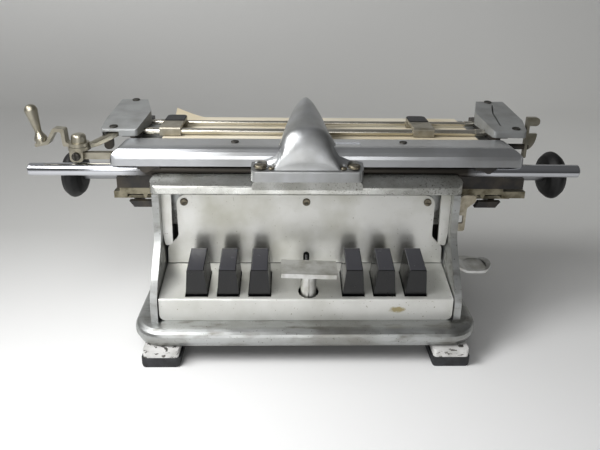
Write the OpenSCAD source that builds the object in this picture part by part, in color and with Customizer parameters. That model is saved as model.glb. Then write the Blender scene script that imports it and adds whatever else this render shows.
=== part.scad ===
// Braillewriter with a cast aluminium body, six keys and a sliding carriage.
// Inside the modules x runs to the right, y backwards from the nose of the base,
// and z upwards from the floor. placed() moves the whole to its reference point.

/* [Base] */
// Width over the side walls
body_w = 246; // [236:1:260]
// Depth from the nose of the base to the back of the body
body_d = 168; // [164:1:184]
// Height of the rubber pads
pad_h = 8.5; // [6:0.5:12]
// Height of the cast foot blocks
block_h = 6.5; // [4:0.5:10]
// Height of the base rim
rim_h = 14; // [11:0.5:18]
// Width of the base rim from its outer edge inwards
rim_w = 24; // [22:0.5:25.5]
// Reach of the base rim beyond the side walls
rim_out = 14.8; // [13:0.1:17]
// Reach of the base rim behind the back of the body
rim_tail = 6.5; // [4:0.5:9]
// Corner radius of the base rim in plan
rim_r = 26; // [26:0.5:30]

/* [Side walls] */
// Thickness of the cast side walls
wall_t = 5.5; // [4:0.5:7]
// Height of the side walls above the base rim
wall_rise = 97; // [92:1:108]
// Front edge of the walls near the base
wall_y0 = 14; // [11:0.5:15]
// Front edge of the walls under the lid
wall_y1 = 42.3; // [40:0.1:44]

/* [Keyboard] */
// Height of the key deck's front edge above the base rim
deck_rise = 19; // [17:0.5:20]
// Front of the key deck
deck_y0 = 16.2; // [16:0.1:18]
// Slope of the key deck in degrees
deck_tilt = 13.4; // [12:0.1:15]
// Thickness of the pressed deck and back panel
sheet_t = 1.5; // [1:0.1:1.8]
// Front of the back panel
panel_y = 57; // [56:0.1:58]
// Distance of the innermost keys from the middle
key_x0 = 37.4; // [36:0.1:40]
// Distance from key to key
key_pitch = 25; // [23:0.5:26]
// Width of a key cap at its foot
key_foot_w = 17.3; // [15:0.1:18.5]
// Width of a key cap at its top
key_top_w = 13.2; // [10:0.2:14]
// Length of a key cap
key_l = 27; // [24:0.5:28]
// Height of a key cap above the deck
key_h = 23.4; // [20:0.2:27]
// Travel of a key in degrees, which sets the room in front of it
key_travel = 4.5; // [3:0.5:5]
// Width of the space plate
space_w = 44.5; // [40:0.5:48]
// Depth of the space plate
space_d = 23; // [20:0.5:24]
// Diameter of the space plate's post
post_d = 12.5; // [10:0.5:14]

/* [Cover and bar] */
// Height of the body's top cover
lid_h = 8; // [7:0.5:10]
// Diameter of the guide bar
bar_d = 10.5; // [9:0.1:11]
// Length of the guide bar
bar_l = 448; // [420:1:460]
// Distance of the guide bar's middle behind the nose
bar_y = 61; // [60.8:0.1:61.4]
// Gap between the top cover and the guide bar
bar_lift = 1.35; // [1:0.05:2]
// Width of the head hood's flange
flange_w = 89; // [84:1:100]
// Height of the hood's tip above the guide bar's middle
hood_rise = 49.4; // [44:0.2:54]
// Half width of the hood's front at its foot
hood_half_w = 23.5; // [22:0.5:26]

/* [Carriage] */
// Place of the carriage's middle, to the right of the body's middle
carriage_x = 9; // [0:0.5:12]
// Length of the carriage cover
cover_l = 334; // [326:1:336]
// Depth of the carriage cover
cover_d = 31; // [28:0.5:31.5]
// Height of the carriage cover
cover_h = 15; // [14:0.5:16]
// Half the distance between the end housings
housing_x0 = 150; // [146:0.5:152]
// Width of an end housing
housing_w = 33; // [30:0.5:36]
// Depth of an end housing
housing_d = 79; // [76:0.5:86]
// Diameter of the front paper rod
rod_d1 = 5.6; // [4:0.1:6]
// Diameter of the rear paper rod
rod_d2 = 4; // [3:0.1:5]
// Distance from tooth to tooth of the escapement rack, one braille cell
rack_pitch = 6.2; // [5.8:0.1:6.4]
// Teeth of the escapement wheel
wheel_teeth = 12; // [11:1:13]
// Width of the sheet of paper
paper_w = 276; // [200:1:280]

/* [Roller and knobs] */
// Diameter of the paper roller
roller_d = 32; // [28:0.5:32.5]
// Diameter of the knobs
knob_d = 41.5; // [36:0.5:42.5]
// Width of a knob
knob_w = 16; // [14:0.5:20]
// Inner face of a knob from the carriage's middle
knob_x0 = 200; // [196:0.5:203]
// Diameter of the roller's axle
axle_d = 10; // [7:0.5:11]

/* [Line lever] */
// Length of the turned grip
grip_l = 30; // [26:0.5:34]
// Diameter of the grip's top
grip_d = 9.8; // [8:0.1:11]
// Lean of the grip away from the machine in degrees
grip_lean = 12; // [8:0.5:18]

/* [Hidden] */
$fn = 48;
// Clearance between pieces that lie face to face
seat = 0.1;
// Radial clearance of a shaft in its bore
run = 0.05;
rim_z0 = pad_h + block_h;
rim_z1 = rim_z0 + rim_h;
rim_x = body_w / 2 + rim_out;
rim_back = body_d + rim_tail;
rim_end = rim_x - rim_r;
foot_x0 = body_w / 2 - 23.5;
foot_w = 27.5;
foot_d = 27;
foot_out = 3;
pad_more = 1.5;
inner_x = body_w / 2 - wall_t;
lid_z0 = rim_z1 + wall_rise;
lid_z1 = lid_z0 + lid_h;
lid_wall = 3;
lid_over = 2.8;
lid_y0 = 42;
lid_back = 68;
// Ridge of the top cover, close in front of the guide bar
ridge_y = bar_y - bar_d / 2 - 0.3;
ridge_z = lid_z1 + 5.8;
bar_z = lid_z1 + bar_lift + bar_d / 2;
bar_top = bar_z + bar_d / 2;
// The well floor lies under the roller, the knobs and the rack
well_z = bar_z - 38.1;
well_t = 2.5;
deck_z0 = rim_z1 + deck_rise;
deck_half_w = inner_x - 0.7;
function deck_z(y) = deck_z0 + (y - deck_y0) * tan(deck_tilt);
key_u0 = 4.9;
key_lean = 3;
key_skirt = 5.5;
key_gap = 0.5 + 18 * sin(key_travel);
pivot_y = 95;
pivot_z = rim_z1 + 15;
pivot_d = 6;
lever_t = 4;
lever_h = 6;
stem_y0 = deck_y0 + 9.8;
stem_y1 = stem_y0 + 12;
stem_z = deck_z0 + 17;
pin_x = 4;
pin_y0 = 118;
pin_row = 4.5;
pin_d = 2.2;
pin_lift = 2.8;
guide_half_w = 12;
guide_y0 = 115;
guide_y1 = 130;
guide_over = 5;
space_x = 1.5;
// The post stands a little behind the middle of its plate
space_y = deck_y0 + 9.1;
space_over = 1.1;
space_hole_u = 9.4;
slot_x = 0.6;
slot_w = 5;
space_z0 = deck_z0 + 20.5;
space_t = 3.6;
space_roll = 1.8;
// Carriage heights, taken from the guide bar
cover_z0 = bar_top + 0.15;
cover_z1 = cover_z0 + cover_h;
cover_y0 = bar_y - bar_d / 2 - 2.75;
cover_y1 = cover_y0 + cover_d;
cover_t = 2;
beam_y0 = lid_back + 2;
beam_t = 5;
beam_left = 167;
beam_right = 175.5;
beam_z1 = bar_z - 10.1;
rail_y0 = 76;
rail_y1 = 79;
rack_z0 = bar_z - 28.6;
rack_z1 = rack_z0 + 9;
tooth_h = 3.5;
roller_y = 92;
roller_z = bar_z - 14.6;
table_z1 = bar_z + 14.9;
table_t = 1.5;
table_y1 = 168;
paper_z0 = table_z1 + 0.4;
paper_t = 0.6;
plate_x = housing_x0 + 3;
plate_t = 4;
plate_back = 160;
rear_y = 148;
rear_t = 5;
rail_h = 6;
housing_y0 = 86;
housing_y1 = housing_y0 + housing_d;
housing_z0 = bar_z + 20.8;
housing_z1 = bar_z + 27;
housing_tilt = 6.6;
housing_t = 2.5;
rod_y1 = 107;
rod_y2 = 138;
rod_z = bar_z + 19.5;
flange_y0 = 41;
flange_y1 = cover_y0 - 0.6;
pad_step = 3.2;
flange_z0 = lid_z1 + pad_step;
flange_z1 = bar_z + 9.4;
flange_fall = 4.2;
big_seat = 2.4;
small_seat = 3;
roof_z1 = cover_z1 + 2.3;
roof_z2 = bar_z + 27;
hood_y0 = 43;
hood_y1 = 129;
hood_z1 = bar_z + hood_rise;
hood_z0 = flange_z1 - 8;
crest_y = 58;
crest_z = bar_z + 37.7;
hood_peak_y = 113;
wheel_r = wheel_teeth * rack_pitch / (2 * PI);
wheel_z = rack_z0 + tooth_h / 2 - wheel_r;
wheel_x = 14;
hub_x = -193;
hub_y = 66;
bracket_z0 = bar_z + 15.4;
bracket_z1 = bracket_z0 + 3;
arm_z = bracket_z1 + 0.2;
arm_t = 2.8;
grip_x = -222.5;
grip_z = bracket_z1 + 3.5;
grip_pin_d = 3;
guide_w = 18.3;
left_guide_x = -127.2;
right_guide_x = 95.4;
release_x = housing_x0 + housing_w + 0.9;
tab_z = rim_z1 + 27;
tab_x = inner_x - 9.5;
tab_y = 67;
frame_x = (carriage_x + knob_x0 + knob_w - bar_l / 2) / 2;
frame_y = rim_back / 2;
keys = [1, 2, 3, 4, 5, 6];

// Outlines

function unit(v) = v / norm(v);

// Points of an arc about c from the angle a0 over the angle da
function arc(c, r, a0, da, n) = [for (i = [0:n]) c + r * [cos(a0 + da * i / n), sin(a0 + da * i / n)]];

// One corner p between its neighbours a and b, rounded to the radius r
function corner(p, a, b, r, n) = let(
    u = unit(a - p), v = unit(b - p), half = acos(max(-1, min(1, u * v))) / 2,
    c = p + unit(u + v) * r / sin(half), s = p + u * r / tan(half) - c, e = p + v * r / tan(half) - c,
    a0 = atan2(s.y, s.x), a1 = atan2(e.y, e.x), da = (a1 - a0 + 540) % 360 - 180)
    arc(c, r, a0, da, n);

// A closed outline from [x, y] or [x, y, radius] points
function rounded(q, n = 5) = let(m = len(q)) [
    for (i = [0:m - 1]) let(
        p = [q[i][0], q[i][1]], a = [q[(i + m - 1) % m][0], q[(i + m - 1) % m][1]],
        b = [q[(i + 1) % m][0], q[(i + 1) % m][1]], r = len(q[i]) > 2 ? q[i][2] : 0)
    each (r > 0 ? corner(p, a, b, r, n) : [p])];

// A flat strip of width w along the two points p and q, as an outline
function strip(p, q, w) = let(d = unit(q - p), s = [-d.y, d.x] * w / 2) [p + s, p - s, q - s, q + s];

// A bent strip of thickness t along a path, with the radius r at its bends
function bent(path, t, r) = let(m = len(path), side = [for (i = [0:m - 1]) let(
        d0 = unit(path[max(1, i)] - path[max(1, i) - 1]),
        d1 = unit(path[min(m - 1, i + 1)] - path[min(m - 1, i + 1) - 1]),
        n0 = [-d0.y, d0.x], n1 = [-d1.y, d1.x]) (n0 + n1) / (1 + n0 * n1) * t / 2])
    concat([for (i = [0:m - 1]) concat(path[i] + side[i], [i == 0 || i == m - 1 ? 0 : r])],
        [for (i = [m - 1:-1:0]) concat(path[i] - side[i], [i == 0 || i == m - 1 ? 0 : r])]);

function bezier(a, b, c, d, t) =
    a * pow(1 - t, 3) + 3 * b * t * pow(1 - t, 2) + 3 * c * t * t * (1 - t) + d * pow(t, 3);

// Helpers for placing

module placed() translate([-frame_x, -frame_y, 0]) children();

module on_carriage() placed() translate([carriage_x, 0, 0]) children();

// An outline in y and z, run along x
module along_x(x0, x1) translate([x0, 0, 0]) rotate([90, 0, 90]) linear_extrude(x1 - x0) children();

// An outline in x and z, run along y
module along_y(y0, y1) translate([0, y1, 0]) rotate([90, 0, 0]) linear_extrude(y1 - y0) children();

module along_z(z0, z1) translate([0, 0, z0]) linear_extrude(z1 - z0) children();

module both_sides() {
    children();
    mirror([1, 0, 0]) children();
}

module block(lo, hi) translate(lo) cube(hi - lo);

module rod_x(x0, x1, y, z, d) translate([x0, y, z]) rotate([0, 90, 0]) cylinder(h = x1 - x0, d = d);

module rod_y(y0, y1, x, z, d) translate([x, y1, z]) rotate([90, 0, 0]) cylinder(h = y1 - y0, d = d);

// A slotted round-head screw, its seat at the origin and its head upwards
module screw(d, h) difference() {
    rotate_extrude() polygon(rounded([[0, 0], [d / 2, 0, 0], [d / 2, h, h * 0.6], [0, h]]));
    block([-d, -d * 0.08, h * 0.55], [d, d * 0.08, h + 1]);
}

// Base and walls

module rim_profile() polygon(rounded([
    [-rim_w, rim_z0], [-2.5, rim_z0, 1.5], [0, rim_z0 + 5, 3], [0, rim_z1, 7], [-rim_w, rim_z1]]));

module rim_corner(y, turn) translate([rim_end, y, 0]) rotate([0, 0, turn])
    rotate_extrude(angle = 90) translate([rim_r, 0]) rim_profile();

module base_rim() {
    along_x(-rim_end, rim_end) mirror([1, 0]) rim_profile();
    along_x(-rim_end, rim_end) translate([rim_back, 0]) rim_profile();
    both_sides() {
        along_y(rim_r, rim_back - rim_r) translate([rim_x, 0]) rim_profile();
        rim_corner(rim_r, -90);
        rim_corner(rim_back - rim_r, 0);
    }
}

// The wall's front edge leans back above the deck and stands upright under the lid
wall_outline = concat(
    [[body_d - well_t, rim_z1 - 6], [wall_y0, rim_z1 - 6]],
    [for (i = [0:14]) bezier([wall_y0, rim_z1 + 13], [wall_y0, rim_z1 + 31],
        [wall_y1 - 1, lid_z0 - 46], [wall_y1, lid_z0 - 33], i / 14)],
    [[wall_y1, lid_z0], [lid_back, lid_z0], [lid_back, well_z - well_t]],
    arc([body_d - 12, well_z - 12], 12 - well_t, 90, -90, 6));

module body_casting() color("#b9bbbd") placed() difference() {
    union() {
        base_rim();
        both_sides() along_x(inner_x, body_w / 2) polygon(wall_outline);
        // Cross web that carries the back panel
        along_x(-inner_x, inner_x) polygon(rounded([[panel_y + sheet_t + seat, lid_z0 - 20],
            [panel_y + 6.5, lid_z0 - 20, 1], [panel_y + 6.5, lid_z0 - 1],
                [panel_y + sheet_t + seat, lid_z0 - 1]]));
        // Lugs for the side tab's pin
        for (y = [tab_y - 8.4, tab_y + 5.2])
            along_y(y, y + 3.3) polygon(rounded([[tab_x - 4, tab_z - 4, 3], [inner_x + 1, tab_z - 4],
                [inner_x + 1, tab_z + 4], [tab_x - 4, tab_z + 4, 3]]));
        rod_y(tab_y - 8, tab_y + 8, tab_x, tab_z, 4);
    }
    // Slot for the side tab
    block([inner_x - 1, tab_y - 7.5, tab_z - 5], [body_w / 2 + 1, tab_y + 7.5, tab_z + 3]);
    both_sides() rod_x(inner_x - 1, inner_x + 2.5, pivot_y, pivot_z, pivot_d + 2 * run);
}

module bottom_pan() color("#2b2c2e") placed() difference() {
    along_z(rim_z0 + 1, rim_z0 + 2.5) polygon(rounded([
        for (c = [[-1, 0], [1, 0], [1, 1], [-1, 1]])
        [c.x * (rim_x - rim_w - seat), c.y == 0 ? rim_w + seat : rim_back - rim_w - seat,
            rim_r - rim_w + 0.2]]));
    for (x = [-60, 0, 60], y = [70, 120])
        along_z(rim_z0, rim_z0 + 4) translate([x - 14, y]) square([28, 4]);
}

module at_feet() for (x = [-1, 1], y = [0, 1])
    translate([x * (foot_x0 + foot_w / 2),
        y == 0 ? foot_d / 2 - foot_out : rim_back - foot_d / 2 + foot_out, 0])
    children();

module foot_blocks() color("#d9dadb") placed() at_feet()
    along_z(pad_h, rim_z0) polygon(rounded([for (c = [[-1, -1], [1, -1], [1, 1], [-1, 1]])
        [c.x * foot_w / 2, c.y * foot_d / 2, 2.5]]));

module rubber_feet() color("#1d1d1f") placed() at_feet() intersection() {
    along_y(-foot_d / 2 - 1, foot_d / 2 + 1) polygon(rounded([
        [-foot_w / 2 - pad_more, pad_h, 0.6], [-foot_w / 2 - pad_more, 0, 4],
        [foot_w / 2 + pad_more, 0, 4], [foot_w / 2 + pad_more, pad_h, 0.6]]));
    along_z(-1, pad_h + 1) polygon(rounded([for (c = [[-1, -1], [1, -1], [1, 1], [-1, 1]])
        [c.x * (foot_w / 2 + pad_more), c.y * foot_d / 2, 3]]));
}

// Keyboard

// Coordinates on the sloping deck: y along the slope, z square to it
module on_deck() translate([0, deck_y0, deck_z0]) rotate([deck_tilt, 0, 0]) children();

function key_x(k) = (k < 4 ? -1 : 1) * (key_x0 + key_pitch * (k < 4 ? 3 - k : k - 4));

module key_deck() color("#c4c5c3") placed() difference() {
    intersection() {
        along_x(-deck_half_w, deck_half_w) polygon(rounded([
            [deck_y0, rim_z1 + seat], [deck_y0, deck_z0, 1.5], [panel_y - seat, deck_z(panel_y - seat)],
            [panel_y - seat, deck_z(panel_y - seat) - sheet_t],
                [deck_y0 + sheet_t, deck_z(deck_y0) - sheet_t],
            [deck_y0 + sheet_t, rim_z1 + seat]]));
        along_y(0, panel_y + 10) polygon(rounded([
            [-deck_half_w, rim_z1 + seat, 5], [deck_half_w, rim_z1 + seat, 5],
            [deck_half_w, deck_z0 + 40], [-deck_half_w, deck_z0 + 40]]));
    }
    for (k = keys) on_deck() block([key_x(k) - key_foot_w / 2 - 0.6, key_u0 - key_gap, -8],
        [key_x(k) + key_foot_w / 2 + 0.6, key_u0 + key_l + 0.6, 8]);
    on_deck() translate([space_x, space_hole_u, -8]) cylinder(h = 16, d = post_d + 4);
}

// One cap in deck coordinates: its front view and its side view, crossed
module cap_body() intersection() {
    along_y(0, key_l + 20) polygon(rounded([
        [-key_foot_w / 2, -key_skirt], [key_foot_w / 2, -key_skirt], [key_foot_w / 2, 0, 3],
        [key_top_w / 2, key_h, 1], [-key_top_w / 2, key_h, 1], [-key_foot_w / 2, 0, 3]], 3));
    along_x(-key_foot_w, key_foot_w) polygon(rounded([
        [key_u0, -key_skirt], [key_u0 + key_l, -key_skirt], [key_u0 + key_l, 0, 3],
        [key_u0 + key_l + key_lean, key_h, 1.2], [key_u0 + key_lean, key_h, 1], [key_u0, 0, 3]], 3));
}

// The outline of a key lever in y and z, grown by c
function lever_outline(c) = [
    [stem_y0 - c, pivot_z - lever_h / 2 - c], [pivot_y - 2, pivot_z - lever_h / 2 - c],
    [pivot_y - 2, pivot_z + lever_h / 2 + c], [stem_y1 + c, pivot_z + lever_h / 2 + c],
    [stem_y1 + c, stem_z + c], [stem_y0 - c, stem_z + c]];

module key_cap(k) color("#1a1a1b") placed() difference() {
    translate([key_x(k), 0, 0]) on_deck() cap_body();
    along_x(key_x(k) - lever_t / 2 - seat, key_x(k) + lever_t / 2 + seat) polygon(lever_outline(seat));
}

// Rows of the pin block: the outermost keys work the rearmost pins
function pin_y(k) = pin_y0 + pin_row * (k < 4 ? 3 - k : k - 4);
function pin_side(k) = k < 4 ? -pin_x : pin_x;
// A lever's arm ends just past its pin
function arm_end(k) = let(p = [pin_side(k), pin_y(k)]) p + 1.3 * unit(p - [key_x(k), pivot_y + 4]);

module key_lever(k) color("#8f9193") placed() difference() {
    union() {
        along_x(key_x(k) - lever_t / 2, key_x(k) + lever_t / 2) polygon(lever_outline(0));
        rod_x(key_x(k) - lever_t / 2, key_x(k) + lever_t / 2, pivot_y, pivot_z, 12);
        along_z(pivot_z - lever_h / 2, pivot_z + lever_h / 2)
            polygon(strip([key_x(k), pivot_y + 4], arm_end(k), 3));
    }
    rod_x(key_x(k) - lever_t, key_x(k) + lever_t, pivot_y, pivot_z, pivot_d + 2 * run);
}

module emboss_pin(k) color("#d0d2d4") placed() translate([pin_side(k), pin_y(k), 0])
    rotate_extrude() polygon([[0, pivot_z + lever_h / 2 + 0.4], [pin_d / 2, pivot_z + lever_h / 2 + 0.4],
        [pin_d / 2, paper_z0 - pin_lift - 1], [0.5, paper_z0 - pin_lift], [0, paper_z0 - pin_lift]]);

// The block that guides the six pins up to the paper
module pin_guide() color("#a9a08c") placed() difference() {
    union() {
        block([-guide_half_w, guide_y0, pivot_z + 14], [guide_half_w, guide_y1, paper_z0 - pin_lift - 1.2]);
        block([-guide_half_w - guide_over, guide_y0 - 0.5, well_z + seat],
            [guide_half_w + guide_over, guide_y1 + 2, well_z + 2]);
    }
    for (k = keys) translate([pin_side(k), pin_y(k), 0]) cylinder(h = 400, d = pin_d + 2 * run);
}

module key_axle() color("#9a9c9e") placed() rod_x(-inner_x - 2, inner_x + 2, pivot_y, pivot_z, pivot_d);

module space_plate() color("#cfd0d2") placed() difference() {
    translate([space_x, space_y, 0]) {
        translate([0, -space_over, space_z0]) rotate([0, space_roll, 0]) along_z(0, space_t)
            polygon(rounded([for (c = [[-1, -1], [1, -1], [1, 1], [-1, 1]])
                [c.x * space_w / 2, c.y * space_d / 2, 1.5]]));
        translate([0, 0, pivot_z + lever_h / 2 + seat])
            cylinder(h = space_z0 + 1 - pivot_z - lever_h / 2 - seat, d = post_d);
    }
    // The saw cut down the post's front
    block([space_x - 0.5, space_y - post_d, pivot_z],
        [space_x + 0.5, space_y - post_d / 2 + 2, space_z0 - 4]);
}

module space_lever() color("#8f9193") placed() difference() {
    union() {
        block([space_x - lever_t / 2, space_y - 5, pivot_z - lever_h / 2],
            [space_x + lever_t / 2, pivot_y + 13, pivot_z + lever_h / 2]);
        rod_x(space_x - lever_t / 2, space_x + lever_t / 2, pivot_y, pivot_z, 12);
        // The finger that shows in the back panel's slot
        block([slot_x - 0.9, panel_y + sheet_t + 0.4, pivot_z],
            [slot_x + 0.9, panel_y + 5.5, deck_z(panel_y) + 7]);
    }
    rod_x(space_x - lever_t, space_x + lever_t, pivot_y, pivot_z, pivot_d + 2 * run);
}

// The back panel spreads towards the deck and has rounded shoulders
panel_half = [
    [inner_x - 1.2, deck_z(panel_y) + 0.6], [inner_x - 1.9, deck_z(panel_y) + 16, 6],
    [inner_x - 11.1, deck_z(panel_y) + 25, 7], [inner_x - 10.7, lid_z0 - 6, 8]];

module back_panel() color("#cbccc8") placed() difference() {
    along_y(panel_y, panel_y + sheet_t) polygon(rounded(concat(panel_half,
        [for (i = [3:-1:0]) [-panel_half[i][0], panel_half[i][1], i == 0 ? 0 : panel_half[i][2]]])));
    block([slot_x - slot_w / 2, 0, 0], [slot_x + slot_w / 2, panel_y + 10, deck_z(panel_y) + 8.4]);
    rod_y(0, panel_y + 10, slot_x, deck_z(panel_y) + 8.4, slot_w);
}

module side_strips() color("#aeb0b1") placed() both_sides()
    along_y(panel_y - 8, panel_y - 5.5) polygon(rounded([
        [inner_x - 8.3, lid_z0 - seat], [inner_x - 7.6, lid_z0 - 46, 2],
        [inner_x - 1.6, lid_z0 - 48, 2], [inner_x - seat, lid_z0 - 36], [inner_x - seat, lid_z0 - seat]]));

module body_screws() color("#77756c") placed() {
    for (x = [-1, 0, 1]) translate([x * (inner_x - 17), panel_y, lid_z0 - 12]) rotate([90, 0, 0])
        screw(6.4, 1.6);
    both_sides() {
        translate([flange_w / 2 - 7.5, flange_y0 + 5.8, flange_z1 - big_seat]) screw(9.6, 2.6);
        translate([flange_w / 2 - 16, flange_y0 + 4, flange_z1 - small_seat]) screw(4.6, 1.5);
    }
}

// Top cover, head hood and bar

// The cover's section: its top rises from the front edge to a ridge before the bar
module lid_section() polygon(rounded([
    [lid_y0, lid_z0, 1], [lid_back, lid_z0], [lid_back, lid_z1], [ridge_y, lid_z1],
    [ridge_y, ridge_z, 0.7], [lid_y0 + 1, lid_z0 + 6.5, 3]]));

module top_cover() color("#b4b6b9") placed() difference() {
    union() {
        difference() {
            intersection() {
                along_x(-body_w, body_w) lid_section();
                along_z(lid_z0 - 1, ridge_z + 1) polygon(rounded([
                    [-body_w / 2 - lid_over, lid_y0, 9], [body_w / 2 + lid_over, lid_y0, 9],
                    [body_w / 2 + lid_over, lid_back], [-body_w / 2 - lid_over, lid_back]]));
                along_y(0, lid_back + 1) polygon(rounded([
                    [-body_w / 2 - lid_over, lid_z0], [body_w / 2 + lid_over, lid_z0],
                    [body_w / 2 + lid_over, ridge_z, 7], [-body_w / 2 - lid_over, ridge_z, 7]]));
            }
            block([-inner_x, lid_y0 + lid_wall, lid_z0 - 1],
                [inner_x, lid_back - lid_wall, lid_z1 - lid_wall]);
            // Room for the hood's flange
            block([-flange_w / 2 - 0.3, 0, flange_z0], [flange_w / 2 + 0.3, lid_back + 1, ridge_z + 1]);
        }
        // Raised pad under the flange
        along_y(lid_y0 + 0.6, flange_y1) polygon(rounded([
            [-flange_w / 2 + 0.5, lid_z0 + 4], [flange_w / 2 - 0.5, lid_z0 + 4],
            [flange_w / 2 - 0.5, flange_z0, 4], [-flange_w / 2 + 0.5, flange_z0, 4]]));
        // Rear wall down to the well
        block([-inner_x + 0.3, lid_back - lid_wall, well_z - 12], [inner_x - 0.3, lid_back, lid_z0 + 1]);
        // Saddles that carry the guide bar
        for (x = [-112, 112]) along_x(x - 7, x + 7) polygon([[bar_y - 4.6, lid_z1 - 1],
            [bar_y + 4.6, lid_z1 - 1],
            [bar_y + 4.6, bar_z - 1], [bar_y - 4.6, bar_z - 1]]);
    }
    rod_x(-bar_l / 2, bar_l / 2, bar_y, bar_z, bar_d + 2 * run);
    rod_y(lid_back - 10, lid_back + 10, wheel_x, wheel_z, 5 + 2 * run);
}

// Rises smoothly from 0 to 1 while a does
function smooth(a) = let(b = max(0, min(1, a))) b * b * (3 - 2 * b);

// Height of the hood's ridge at y
function ridge(y) = let(foot = flange_z1 - 5) y < crest_y
    ? foot + (crest_z - foot) * pow(1 - pow((crest_y - y) / (crest_y - hood_y0 + 0.3), 2.1), 1 / 2.1)
    : y < hood_peak_y
    ? crest_z + (hood_z1 - crest_z) * pow(sin(90 * (y - crest_y) / (hood_peak_y - crest_y)), 1.4)
    : hood_z1 - (hood_z1 - roof_z2 - 3) * (1 - sqrt(1 - pow((y - hood_peak_y)
        / (hood_y1 - hood_peak_y + 0.3), 2)));

// Half width of the hood at y and z: an arched front lobe that passes into a broader
// and then sharper fin, with a flared foot
function hood_w(y, z) = let(
    s = smooth((y - 46) / 9), back = max(0, y - crest_y), drop = max(0, ridge(y) - z),
    edge = sqrt(1 - pow(1 - min(1, drop / (9 * (1 - s) + 0.4)), 2)),
    lobe = 6.7 * pow(max(0, crest_z + 0.2 - z), 0.37) * edge,
    fin = 10.1 * exp(-0.0247 * back) * pow(drop, 0.3 + 0.0051 * back),
    tail = y > hood_peak_y ? sqrt(1 - pow((y - hood_peak_y) / (hood_y1 - hood_peak_y + 4), 2)) : 1,
    foot = max(0, min(1, 1 - (z - flange_z1) / 7)))
    ((1 - s) * lobe + s * fin) * tail * hood_half_w / 23.5
    + pow(foot, 1.8) * min(1, drop / 3) * (2 + 14.5 * smooth((y - 46) / 6.4));

hood_ys = [for (i = [0:7]) hood_y0 + (crest_y - hood_y0) * (1 - cos(90 * i / 7)),
    for (i = [1:6]) crest_y + (hood_peak_y - crest_y) * i / 6,
    for (i = [1:4]) hood_peak_y + (hood_y1 - hood_peak_y) * sin(90 * i / 4)];
hood_ts = [0, 0.1, 0.17, 0.24, 0.31, 0.4, for (i = [3:8]) sin(10 * i), 0.997];

// The hood above its flange, lofted from cross sections along y
module hood_loft() {
    m = len(hood_ts);
    rings = [for (y = hood_ys) let(h = ridge(y) - hood_z0) concat(
        [for (t = hood_ts) [hood_w(y, hood_z0 + h * t), y, hood_z0 + h * t]], [[0, y, ridge(y)]],
        [for (i = [m - 1:-1:0]) [-hood_w(y, hood_z0 + h * hood_ts[i]), y, hood_z0 + h * hood_ts[i]]])];
    n = 2 * m + 1;
    polyhedron(points = [for (r = rings) each r], faces = concat(
        [for (j = [0:len(rings) - 2], i = [0:n - 1]) each [
            [j * n + i, j * n + (i + 1) % n, (j + 1) * n + (i + 1) % n],
            [j * n + i, (j + 1) * n + (i + 1) % n, (j + 1) * n + i]]],
        [[for (i = [n - 1:-1:0]) i]], [[for (i = [0:n - 1]) (len(rings) - 1) * n + i]]));
}

module head_hood() color("#a6a8aa") placed() difference() {
    union() {
        intersection() {
            along_x(-flange_w, flange_w) polygon(rounded([[flange_y0, flange_z0], [flange_y1, flange_z0],
                [flange_y1, flange_z1], [flange_y0, flange_z1 - flange_fall, 1.5]]));
            along_z(flange_z0, flange_z1) polygon(rounded([
                [-flange_w / 2, flange_y0, 5], [flange_w / 2, flange_y0, 5],
                [flange_w / 2, flange_y1, 1], [-flange_w / 2, flange_y1, 1]]));
        }
        hood_loft();
    }
    // Seats of the flange's screws
    both_sides() {
        translate([flange_w / 2 - 7.5, flange_y0 + 5.8, flange_z1 - big_seat]) cylinder(h = 12, d = 11.4);
        translate([flange_w / 2 - 16, flange_y0 + 4, flange_z1 - small_seat]) cylinder(h = 12, d = 6);
    }
    // The hood arches over the carriage and the paper
    block([-100, flange_y1, 0], [100, 200, roof_z1]);
    block([-100, rod_y1 - 12, 0], [100, 200, roof_z2]);
    // Hollow of the roof
    block([-7, flange_y1 + 6, 0], [7, rod_y1 - 16, crest_z - 6]);
}

module die_block() color("#8c8a84") placed() difference() {
    block([-10, guide_y0, paper_z0 + paper_t + 2], [10, guide_y1 - 2, roof_z2]);
    for (k = keys) translate([pin_side(k), pin_y(k), 0]) cylinder(h = paper_z0 + paper_t + 4, d = pin_d);
}

module guide_bar() color("#d6dade") placed() translate([-bar_l / 2, bar_y, bar_z]) rotate([0, 90, 0])
    rotate_extrude() polygon([[0, 0], [bar_d / 2 - 0.8, 0], [bar_d / 2, 0.8],
        [bar_d / 2, bar_l - 0.8], [bar_d / 2 - 0.8, bar_l], [0, bar_l]]);

// The well floor and the back of the body in one sheet
module rear_cover() color("#a5a8aa") placed() difference() {
    union() {
        along_x(-body_w / 2, body_w / 2) polygon(concat(
            [[lid_back + seat, well_z - well_t], [lid_back + seat, well_z]],
            arc([body_d - 12, well_z - 12], 12, 90, -90, 6), [[body_d, rim_z1 + seat],
                [body_d - well_t, rim_z1 + seat]],
            arc([body_d - 12, well_z - 12], 12 - well_t, 0, 90, 6)));
        // Stud of the spring drum
        translate([-75, 112, well_z - 26]) cylinder(h = 25, d = 6);
    }
    block([wheel_x - wheel_r - 4, lid_back - 1, well_z - 10],
        [wheel_x + wheel_r + 4, beam_y0 + 8, well_z + 1]);
    block([-guide_half_w - 0.3, guide_y0 - 0.3, 0], [guide_half_w + 0.3, guide_y1 + 0.3, well_z + 1]);
    for (x = [-70:35:70]) block([x - 12, body_d - 5, rim_z1 + 16], [x + 12, body_d + 1, rim_z1 + 20]);
}

module rear_rail() color("#b8bbbd") placed()
    block([-150, rear_y, well_z + seat], [150, rear_y + rear_t, well_z + rail_h]);

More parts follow.
